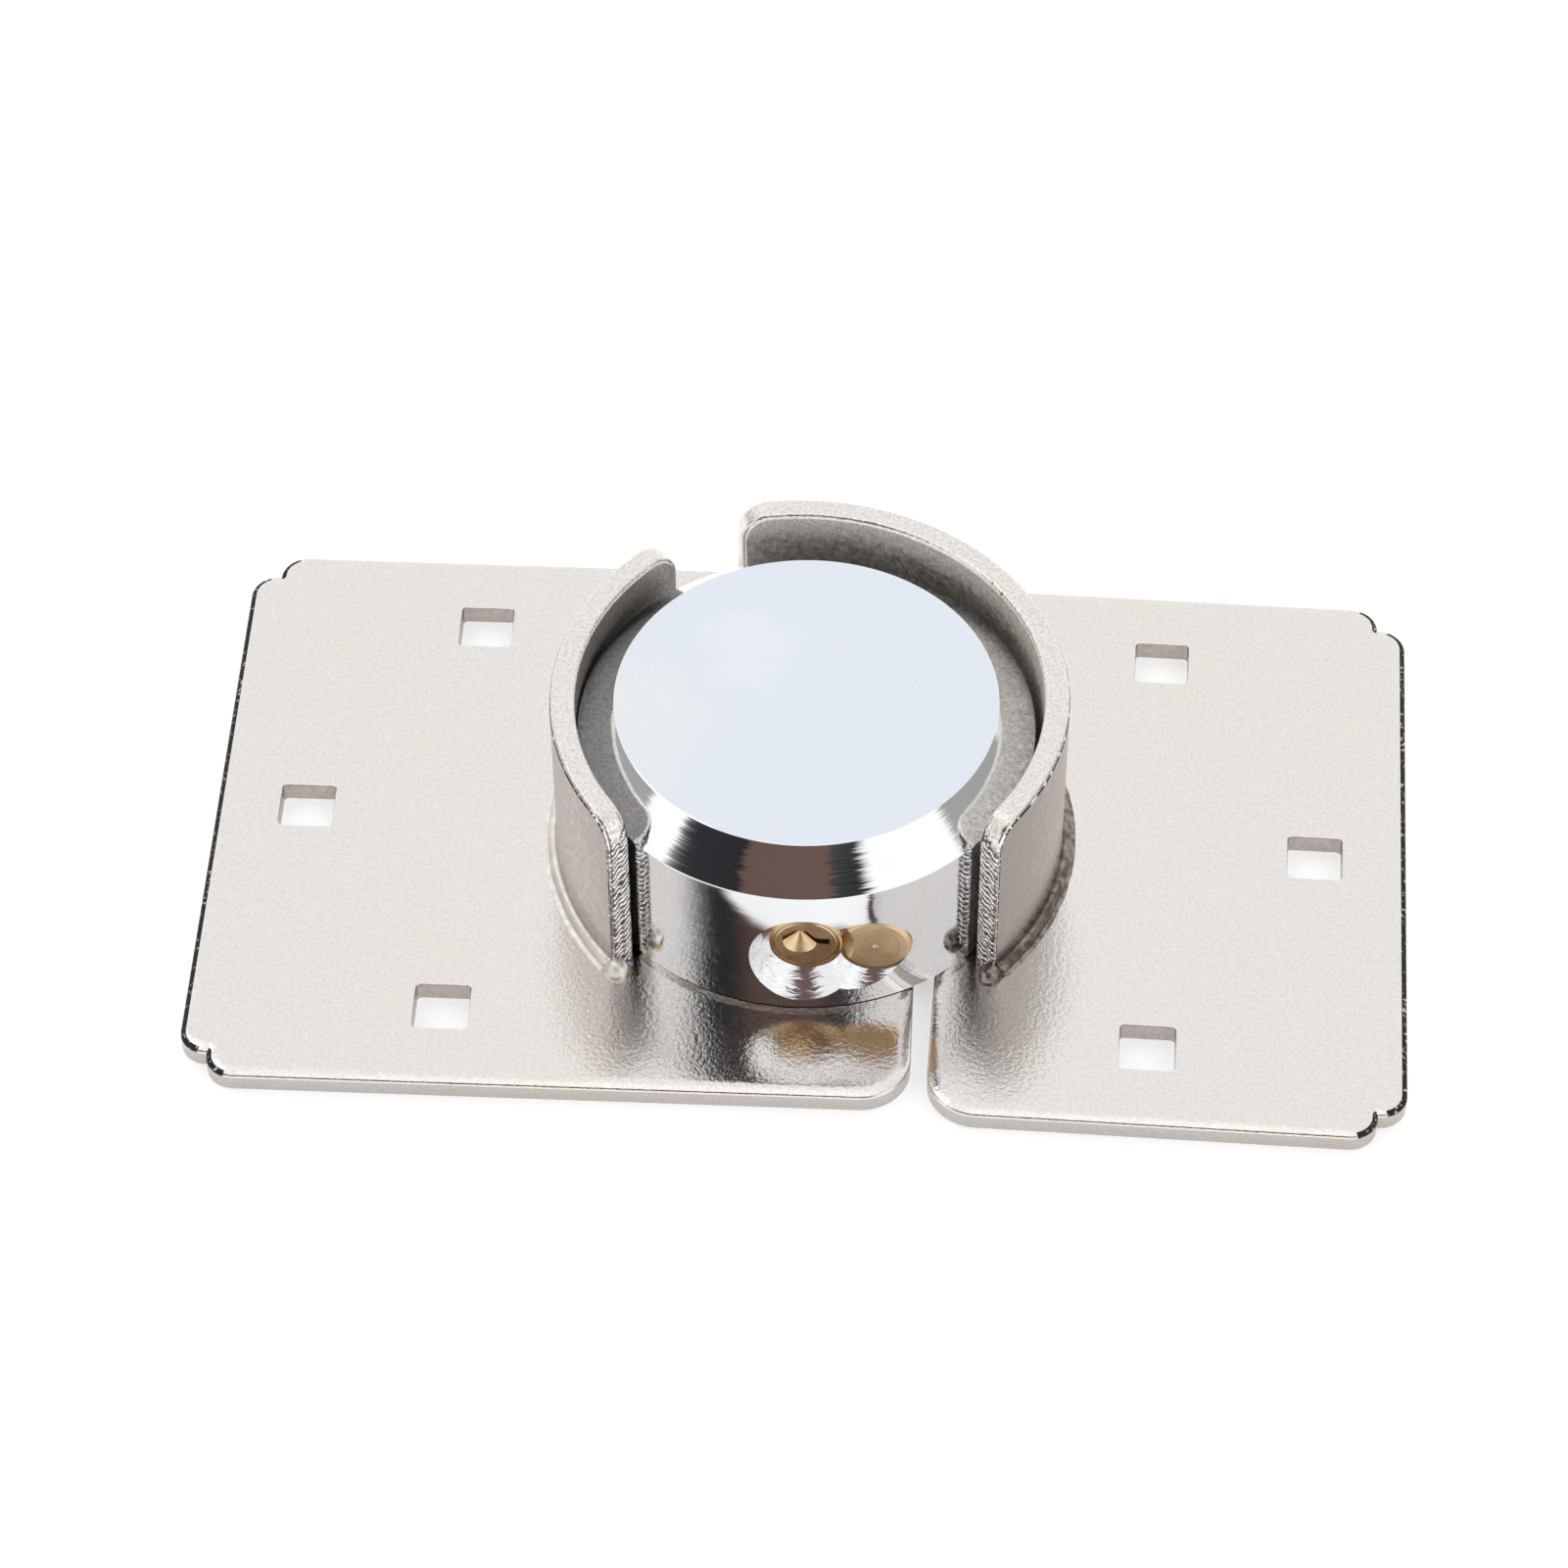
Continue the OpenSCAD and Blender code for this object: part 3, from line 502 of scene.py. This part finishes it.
def guard_bar(name, spec, turned, front, inside, seed):
    """Bent bar with rounded edges and end corners. front says which end was sheared."""
    mid = spec["r"] + GUARD_T / 2
    length = mid * math.radians(spec["a1"] - spec["a0"])
    e, cr, rows = GUARD_EDGE_R, GUARD_END_R, WALL_ROWS
    fine = rows * END_FINENESS
    half = GUARD_T / 2

    def foot(s):
        a = math.radians(spec["a0"]) + s / mid
        x = spec["centre"][0] + mid * math.cos(a)
        y = spec["centre"][1] + mid * math.sin(a)
        return LEAF_CLEAR if turned and y > 0 and x < RIGHT_EDGE else 0.0

    path, wall = [], []
    stem = GUARD_H - cr
    for k in range(fine):
        path.append((0.0, foot(0) + (stem - foot(0)) * k / fine, 1, 0))
    for degrees in range(0, 95, 5):
        a = math.radians(degrees)
        path.append((cr * (1 - math.cos(a)), stem + cr * math.sin(a), math.cos(a), -math.sin(a)))
        wall.append(path[-1])
    count = int((length - 2 * cr) / 0.8)
    for k in range(1, count):
        path.append((cr + (length - 2 * cr) * k / count, GUARD_H, 0, -1))
        wall.append(path[-1])
    for degrees in range(90, -5, -5):
        a = math.radians(degrees)
        path.append((length - cr * (1 - math.cos(a)), stem + cr * math.sin(a),
                     -math.cos(a), -math.sin(a)))
        wall.append(path[-1])
    for k in range(fine - 1, -1, -1):
        path.append((length, foot(length) + (stem - foot(length)) * k / fine, -1, 0))

    across = [(e * (1 - math.cos(math.radians(t))), half - e + e * math.sin(math.radians(t)))
              for t in (90, 72, 54, 36, 18)]
    strip = [(d, -w) for d, w in across]
    strip += [(0.0, (half - e) * (-1 + k / 6)) for k in range(13)]
    strip += [(d, w) for d, w in reversed(across)]
    points, faces, marks, depths = [], [], [], []

    def place(s, z, w):
        a = math.radians(spec["a0"]) + s / mid
        x = spec["centre"][0] + (mid + w) * math.cos(a)
        y = spec["centre"][1] + (mid + w) * math.sin(a)
        return (*flat(x, y, turned), z + LEAF_T)

    def torn(s, z, ns, w, d):
        """How far the torn end face lies back from the plain one."""
        near = length - s if front == "last" else s
        if near > cr or ns == 0:
            return 0.0
        edge = max(0.0, 1 - d / e)
        return abs(ns) ** 3 * (0.25 + 0.75 * edge) * max(0.0, shear(w, z, seed)) * edge

    for s, z, ns, nz in path:
        for d, w in strip:
            back = torn(s, z, ns, w, d)
            depths.append(back)
            rag = 0.03 * (wobble(s * 0.9 + z * 0.9, w * 1.1, seed + 3) - 1)
            side = 1 if ns >= 0 else -1
            points.append(place(s + ns * d + side * back, z + nz * d + (rag if nz else 0), w))
    n = len(strip)

    def end_mark(a, j, z):
        """Dark as painted shade in the deep tears, dark down the outermost line of the end, bright
        elsewhere.
        """
        if j == n - 2:
            dark = wobble(z * 1.4, seed + 2) > -0.3
        elif j > n - 5:
            dark = False
        else:
            deep_shade = depths[a] + depths[a + n + 1] > TEAR_SHADE_DEPTH
            dark = deep_shade or j == n - 5 and wobble(z, seed) > -0.1
        return GUARD_TORN if dark else GUARD_SHEARED

    for i in range(len(path) - 1):
        is_end = path[i + 1][3] == 0 and path[i][3] == 0 or abs(path[i][2]) > 0.75
        at_front = (path[i][0] > length / 2) == (front == "last")
        for j in range(n - 1):
            a = i * n + j
            faces.append((a, a + 1, a + 1 + n, a + n))
            worn = j > n - 4 and wobble(i * 0.4, seed) > -0.35
            if is_end and at_front:
                marks.append(end_mark(a, j, path[i][1]))
            else:
                marks.append(GUARD_CREST if worn else GUARD_TOP)
    last = (len(path) - 1) * n
    faces.append(tuple(range(n)))
    faces.append(tuple(range(last, last + n)))
    marks += [GUARD_BAR, GUARD_BAR]

    feet = []
    for side, kind in ((-1, GUARD_INSIDE), (1, GUARD_BAR)):
        columns = []
        for s, z, ns, nz in wall:
            top_s, top_z = s + ns * e, z + nz * e
            low = foot(top_s)
            steps = fine if len(columns) in (0, len(wall) - 1) else rows
            columns.append(range(len(points), len(points) + steps + 1))
            for k in range(steps + 1):
                points.append(place(top_s, low + (top_z - low) * k / steps, side * half))
        for one, two in zip(columns, columns[1:]):
            a, b = len(one) // rows, len(two) // rows
            for k in range(rows):
                faces.append((*one[k * a:k * a + a + 1], *reversed(two[k * b:k * b + b + 1])))
                marks.append(kind)
        feet.append([column[0] for column in columns])
    for i in range(len(wall) - 1):
        faces.append((feet[0][i], feet[0][i + 1], feet[1][i + 1], feet[1][i]))
        marks.append(GUARD_BAR)
    # Faces marked GUARD_BAR (outer wall and bottom faces) take the bar nickel, which is painted
    # darker as shade
    kinds = ["top", "bar", "sheared", inside, "torn", "crest"]
    return make(name, points, faces, kinds, marks, 50)


def weld_bead(name, spec, turned, front, material, seed):
    """Rippled bead along the outer foot of a guard, with a blob at its front end."""
    r = spec["r"] + GUARD_T - 0.15
    a0, a1 = math.radians(spec["a0"]), math.radians(spec["a1"])
    if turned:
        a1 = math.acos((RIGHT_EDGE + ROLL_W - spec["centre"][0]) / (r + WELD_W))
    count = int((a1 - a0) * r / 0.3)
    profile = 12
    points, faces = [], []
    for i in range(count + 1):
        a = a0 + (a1 - a0) * i / count
        s = a * r
        fade = min(1.0, min(i, count - i) / 5 + 0.25)
        ripple = 1 + 0.09 * wobble(s * 0.35, seed)
        for k in range(profile + 1):
            t = math.radians(90 * k / profile)
            bulge = 0.66 + 0.12 * math.sin(2 * t) * ripple
            w = WELD_W * fade * math.cos(t) * (bulge if 0 < k < profile else 1) * ripple
            z = WELD_H * fade * math.sin(t) * bulge * min(ripple, 1.0)
            x = spec["centre"][0] + (r + 0.15 + min(w, WELD_W)) * math.cos(a)
            y = spec["centre"][1] + (r + 0.15 + min(w, WELD_W)) * math.sin(a)
            points.append((*flat(x, y, turned), LEAF_T + z))
        x = spec["centre"][0] + (r - 0.05) * math.cos(a)
        y = spec["centre"][1] + (r - 0.05) * math.sin(a)
        points.append((*flat(x, y, turned), LEAF_T))
    n = profile + 2
    for i in range(count):
        for k in range(n):
            a, b = i * n + k, i * n + (k + 1) % n
            faces.append((a, b, b + n, a + n))
    faces.append(tuple(range(n)))
    faces.append(tuple(range(count * n, count * n + n)))

    end = a1 if front == "last" else a0
    out = 1 if front == "last" else -1
    blob = spec["r"] + GUARD_T / 2 + BLOB_OUT
    cx = spec["centre"][0] + blob * math.cos(end) - out * BLOB_ALONG * math.sin(end)
    cy = spec["centre"][1] + blob * math.sin(end) + out * BLOB_ALONG * math.cos(end)
    cx, cy = flat(cx, cy, turned)
    first, rings_n, around = len(points), 12, 28
    for k in range(rings_n + 1):
        t = math.radians(90 * k / rings_n)
        for i in range(around):
            p = 2 * math.pi * i / around
            c, s = math.cos(p), math.sin(p)
            size = BLOB_R * (1 + 0.13 * wobble(c * 1.3, s * 1.3, seed + t))
            points.append((cx + size * c * math.cos(t), cy + size * s * math.cos(t),
                           LEAF_T + BLOB_H * math.sin(t)))
    for k in range(rings_n):
        for i in range(around):
            a, b = first + k * around + i, first + k * around + (i + 1) % around
            faces.append((a, b, b + around, a + around))
    faces.append(tuple(range(first, first + around)))
    return make(name, points, faces, [material], None, 60)


def lathe(name, profile, place, steps):
    """A closed turned shape, still in millimetres. profile is (radius, height)."""
    points, faces = [], []
    n = len(profile)
    for i in range(steps):
        a = 2 * math.pi * i / steps
        points.extend(place(r * math.cos(a), r * math.sin(a), h) for r, h in profile)
    for i in range(steps):
        for k in range(n - 1):
            a, b = i * n + k, (i + 1) % steps * n + k
            faces.append((a, b, b + 1, a + 1))
    for end in (0, n - 1):
        if profile[end][0] > 0:
            faces.append(tuple(i * n + end for i in range(steps)))
    return make(name, points, faces, ["turned"], None, 1, 1.0)


def along_y(x0):
    return lambda x, y, h: (x0 + x, h, AXIS_Z + y)


def along_z(x0, y0):
    return lambda x, y, h: (x0 + x, y0 + y, h)


def box_cutter(low, high):
    corners = [(x, y, z) for z in (low[2], high[2]) for y in (low[1], high[1])
               for x in (low[0], high[0])]
    faces = [(0, 1, 3, 2), (4, 5, 7, 6), (0, 1, 5, 4),
             (2, 3, 7, 6), (0, 2, 6, 4), (1, 3, 7, 5)]
    return make("cutter", corners, faces, ["turned"], None, 1, 1.0)


def lock_cutters():
    """The bores, scoops and pocket of the lock body, as in the CAD source."""
    wide = FACE_R + SCOOP_MOUTH * math.tan(SCOOP_ANGLE)
    under, pocket_top = LOCK_Z - 0.05, 24.5
    cylinder = [(5.72, -11.2), (8.6, -11.2), (8.6, -8.3), (3.3, -8.3), (3.3, -5.9)]
    bolt = [(5.76, -24.1), (4.8, -24.1), (4.8, -13.1), (3.96, -13.1), (3.96, 15.7)]
    cutters = []
    for x, steps in ((CYL_X, cylinder), (BOLT_X, bolt)):
        profile = [(wide, FACE_Y - SCOOP_MOUTH), (steps[0][0], FACE_Y)] + steps
        cutters.append(lathe("cutter", profile, along_y(x), 240))
    for i in range(PIN_COUNT):
        profile = [(PIN_BORE_R, LOCK_Z + 0.5), (PIN_BORE_R, AXIS_Z)]
        cutters.append(lathe("cutter", profile, along_z(CYL_X, PIN_FIRST_Y + PIN_PITCH * i), 24))
    cutters.append(box_cutter((3.8, -3.0, under), (20.8, 4.25, pocket_top)))
    cutters.append(box_cutter((3.3, 3.2, under), (31.2, 11.2, pocket_top)))
    cutters.append(box_cutter((-0.62, -30.9, under), (3.42, -12.9, LOCK_Z + 1.3)))
    for x, y, r in [(-5.1, -21.9, 1.27), (16.2, -9.75, 1.52)]:
        cutters.append(lathe("cutter", [(r, under), (r, AXIS_Z + 4)], along_z(x, y), 32))
    return cutters


def exact_normals(me):
    """Gives the turned faces the normals of the true surfaces, so that they mirror cleanly."""
    axes = [((0, 0), 2), ((CYL_X, AXIS_Z), 1), ((BOLT_X, AXIS_Z), 1)]
    normals = [None] * len(me.loops)
    for p in me.polygons:
        n, c = p.normal, p.center
        found = None
        if p.material_index != LOCK_DISC:
            for (u, v), axis in axes:
                others = [k for k in range(3) if k != axis]
                radial = Vector((c[others[0]] - u, c[others[1]] - v))
                across = Vector((n[others[0]], n[others[1]]))
                far_out = radial.length > 30
                if across.length < 0.05 or far_out != (axis == 2):
                    continue
                lean = radial.normalized().dot(across.normalized())
                if abs(lean) > 0.999:
                    found = (u, v, axis, others, across.length, math.copysign(1, lean))
                    break
        for i in p.loop_indices:
            if found is None:
                normals[i] = n
                continue
            u, v, axis, others, size, sign = found
            co = me.vertices[me.loops[i].vertex_index].co
            radial = Vector((co[others[0]] - u, co[others[1]] - v)).normalized() * size * sign
            out = [0.0, 0.0, 0.0]
            out[axis], out[others[0]], out[others[1]] = n[axis], radial[0], radial[1]
            normals[i] = Vector(out).normalized()
    me.normals_split_custom_set(normals)


def lock_shell():
    """Turned lock body with softly broken edges, cut as the CAD body is."""
    low, high = LOCK_Z, LOCK_Z + LOCK_H
    side, rim = LOCK_R, LOCK_R - LOCK_CHAMFER
    shoulder = high - LOCK_CHAMFER
    b = BROKEN_EDGE
    profile = [(0, low), (side - LOCK_FOOT, low), (side, low + LOCK_FOOT), (side, shoulder - b),
               (side - b / 3, shoulder + b / 3), (side - b, shoulder + b), (rim + b, high - b),
               (rim + b / 3, high - b / 3), (rim - b, high), (0, high)]
    body = lathe("lock_shell", profile, along_z(0, 0), 360)
    cutters = lock_cutters()
    for c in cutters:
        m = body.modifiers.new("cut", "BOOLEAN")
        m.operation, m.solver, m.object = "DIFFERENCE", "EXACT", c
    bpy.context.view_layer.update()
    me = bpy.data.meshes.new_from_object(body.evaluated_get(bpy.context.evaluated_depsgraph_get()))
    body.modifiers.clear()
    body.data = me
    for c in cutters:
        bpy.data.objects.remove(c)
    me.materials.clear()
    for m in ("turned", "disc", "left_scoop", "right_scoop", "bore"):
        me.materials.append(MATERIALS[m])
    split = (CYL_X + BOLT_X) / 2
    for p in me.polygons:
        p.use_smooth = True
        c, n = p.center, p.normal
        radius = math.hypot(c.x, c.y)
        if n.z > 0.99 and c.z > high - 0.1:
            p.material_index = LOCK_DISC
        elif radius < LOCK_R - 0.05 and c.z < shoulder and c.z > low + 0.9:
            scoop = LOCK_LEFT_SCOOP if c.x < split else LOCK_RIGHT_SCOOP
            cone = abs(abs(n.y) - math.sin(SCOOP_ANGLE)) < 0.03 and c.y < -30
            p.material_index = scoop if cone else LOCK_BORE
        elif n.z < -0.9:
            p.material_index = LOCK_BORE
        else:
            p.material_index = LOCK_TURNED
    exact_normals(me)
    me.transform(Matrix.Scale(MM, 4))
    return body


def dress(piece, body, slot, *nodes):
    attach(piece, body)
    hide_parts(*nodes)


def build_pieces():
    dress(leaf_plate("left_leaf_plate", LEFT_REACH, LEFT_EDGE, LEFT_LEAF_Y, False),
          "root", "satin_nickel", "left_leaf")
    dress(leaf_plate("right_leaf_plate", RIGHT_REACH, -RIGHT_EDGE, RIGHT_LEAF_Y, True),
          "root", "satin_nickel", "right_leaf")
    dress(guard_bar("left_guard_bar", LEFT_GUARD, False, "last", "shaded", 1.7),
          "root", "satin_nickel", "left_guard")
    dress(guard_bar("right_guard_bar", RIGHT_GUARD, True, "first", "inside", 4.2),
          "root", "satin_nickel", "right_guard")
    dress(weld_bead("left_weld_bead", LEFT_GUARD, False, "last", "left_weld", 2.3),
          "root", "satin_nickel", "left_weld")
    dress(weld_bead("right_weld_bead", RIGHT_GUARD, True, "first", "right_weld", 6.1),
          "root", "satin_nickel", "right_weld")
    dress(lock_shell(), "root", "polished_steel", "lock_body")


def dress_nodes():
    """Materials of the CAD nodes that stay."""
    # The eyes take the bar nickel, which is painted darker as shade
    kinds = {"cylinder_housing": "brass", "plug": "brass", "pin_cover": "brass",
             "bolt_head": "brass_head", "plug_cam": "bright", "cam_screw": "bright",
             "housing_pin": "bright", "bolt": "bright", "bolt_stop_pin": "bright",
             "bolt_spring": "spring", "left_eye": "bar", "right_eye": "bar"}
    for i in range(1, PIN_COUNT + 1):
        kinds.update({f"key_pin_{i}": "brass", f"driver_pin_{i}": "brass",
                      f"pin_spring_{i}": "spring"})
    for name, kind in kinds.items():
        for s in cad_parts[name].material_slots:
            s.material = MATERIALS[kind]


def camera():
    """The photograph's camera: place, turn, pitch and roll as fitted to it."""
    place = Vector((0.02384, -0.52473, 0.61357))
    yaw, pitch, roll = -0.0523, 0.8492, -0.0066
    forward = Vector((math.sin(yaw) * math.cos(pitch), math.cos(yaw) * math.cos(pitch),
                      -math.sin(pitch)))
    right = Vector((math.cos(yaw), -math.sin(yaw), 0))
    up = right.cross(forward)
    right, up = (math.cos(roll) * right + math.sin(roll) * up,
                 math.cos(roll) * up - math.sin(roll) * right)
    data = bpy.data.cameras.new("camera")
    data.lens, data.sensor_width = 113.16, 36
    data.clip_start, data.clip_end = 0.01, 50
    o = bpy.data.objects.new("camera", data)
    bpy.context.scene.collection.objects.link(o)
    turn = Matrix((right, up, -forward)).transposed().to_4x4()
    o.matrix_world = Matrix.Translation(place) @ turn
    bpy.context.scene.camera = o


def floor():
    me = bpy.data.meshes.new("floor")
    s, z = FLOOR_HALF, -FLOOR_DROP
    me.from_pydata([(-s, -s, z), (s, -s, z), (s, s, z), (-s, s, z)], [], [(0, 1, 2, 3)])
    o = bpy.data.objects.new("floor", me)
    bpy.context.scene.collection.objects.link(o)
    m = bpy.data.materials.new("floor_white")
    m.use_nodes = True
    tree = m.node_tree
    tree.nodes.clear()
    path = node(tree, "LightPath")
    seen = math_node(tree, "MAXIMUM", path.outputs["Is Camera Ray"],
                     math_node(tree, "MAXIMUM", path.outputs["Is Glossy Ray"],
                               path.outputs["Is Transmission Ray"]))
    diffuse = node(tree, "BsdfDiffuse", None, {"Color": (0.8, 0.8, 0.8, 1)})
    strength = math_node(tree, "MULTIPLY", seen, FLOOR_GLOW)
    glow = node(tree, "Emission", None, {"Color": (1, 1, 1, 1), "Strength": strength})
    both = node(tree, "AddShader", None, {0: diffuse.outputs[0], 1: glow.outputs[0]})
    node(tree, "OutputMaterial", None, {"Surface": both.outputs[0]})
    me.materials.append(m)


# Colour, azimuth and height from and to, and softness, in degrees; later panels cover earlier ones
PANELS = [
    ((0.9, 0.9, 0.91), -125, 125, 44, 74, 10),
    ((0.42, 0.43, 0.42), -120, -82, -5, 40, 3),
    ((0.42, 0.43, 0.42), 76, 120, -5, 40, 3),
    ((1.2, 1.2, 1.2), -82, -63, 12, 42, 1.5),
    ((1.2, 1.2, 1.21), 33, 75, 12, 42, 2),
    ((0.03, 0.032, 0.035), -63, 30, 30, 41, 2),
    ((0.02, 0.022, 0.025), -57, 32, 39, 64, 4),
    ((0.17, 0.105, 0.09), -29, 15, 31, 53, 2),
    ((1.2, 1.2, 1.2), -180, 180, 76, 100, 4),
]


def studio():
    """A light room with a dark patch where the camera stands, for the polished steel to mirror."""
    world = bpy.data.worlds.new("studio")
    bpy.context.scene.world = world
    world.use_nodes = True
    tree = world.node_tree
    tree.nodes.clear()
    direction = node(tree, "TexCoord").outputs["Generated"]
    parts = node(tree, "SeparateXYZ", None, {0: direction})
    to_degrees = 180 / math.pi
    nearer = math_node(tree, "MULTIPLY", parts.outputs[1], -1.0)
    turn = math_node(tree, "ARCTAN2", parts.outputs[0], nearer)
    azimuth = math_node(tree, "MULTIPLY", turn, to_degrees)
    height = math_node(tree, "MULTIPLY", math_node(tree, "ARCSINE", parts.outputs[2]), to_degrees)

    def panel(colour, below, a0, a1, e0, e1, soft):
        sides = math_node(tree, "MULTIPLY", step(tree, azimuth, a0 - soft, a0 + soft),
                          step(tree, azimuth, a1 - soft, a1 + soft, 1, 0))
        ends = math_node(tree, "MULTIPLY", step(tree, height, e0 - soft, e0 + soft),
                         step(tree, height, e1 - soft, e1 + soft, 1, 0))
        return mix(tree, math_node(tree, "MULTIPLY", sides, ends), below, colour + (1,))

    colour = mix(tree, step(tree, height, 18, 50), (1, 1, 1, 1), (0.98, 0.99, 1.0, 1))
    for shade, *reach in PANELS:
        colour = panel(shade, colour, *reach)
    back = node(tree, "Background", None, {"Color": colour, "Strength": 1.0})
    node(tree, "OutputWorld", None, {"Surface": back.outputs[0]})


def lamp(name, place, target, size, power):
    data = bpy.data.lights.new(name, "AREA")
    data.shape, data.size, data.energy = "SQUARE", size, power
    o = bpy.data.objects.new(name, data)
    bpy.context.scene.collection.objects.link(o)
    o.location = place
    o.rotation_mode = "QUATERNION"
    o.rotation_quaternion = (Vector(target) - Vector(place)).to_track_quat("-Z", "Y")
    o.visible_camera = False


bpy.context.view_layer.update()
camera()
studio()
floor()
lamp("key", (-1.0, 0.5, 1.7), (0, 0, 0), 0.9, 1.2)
build_pieces()
dress_nodes()
bpy.context.scene.view_settings.view_transform = "Standard"
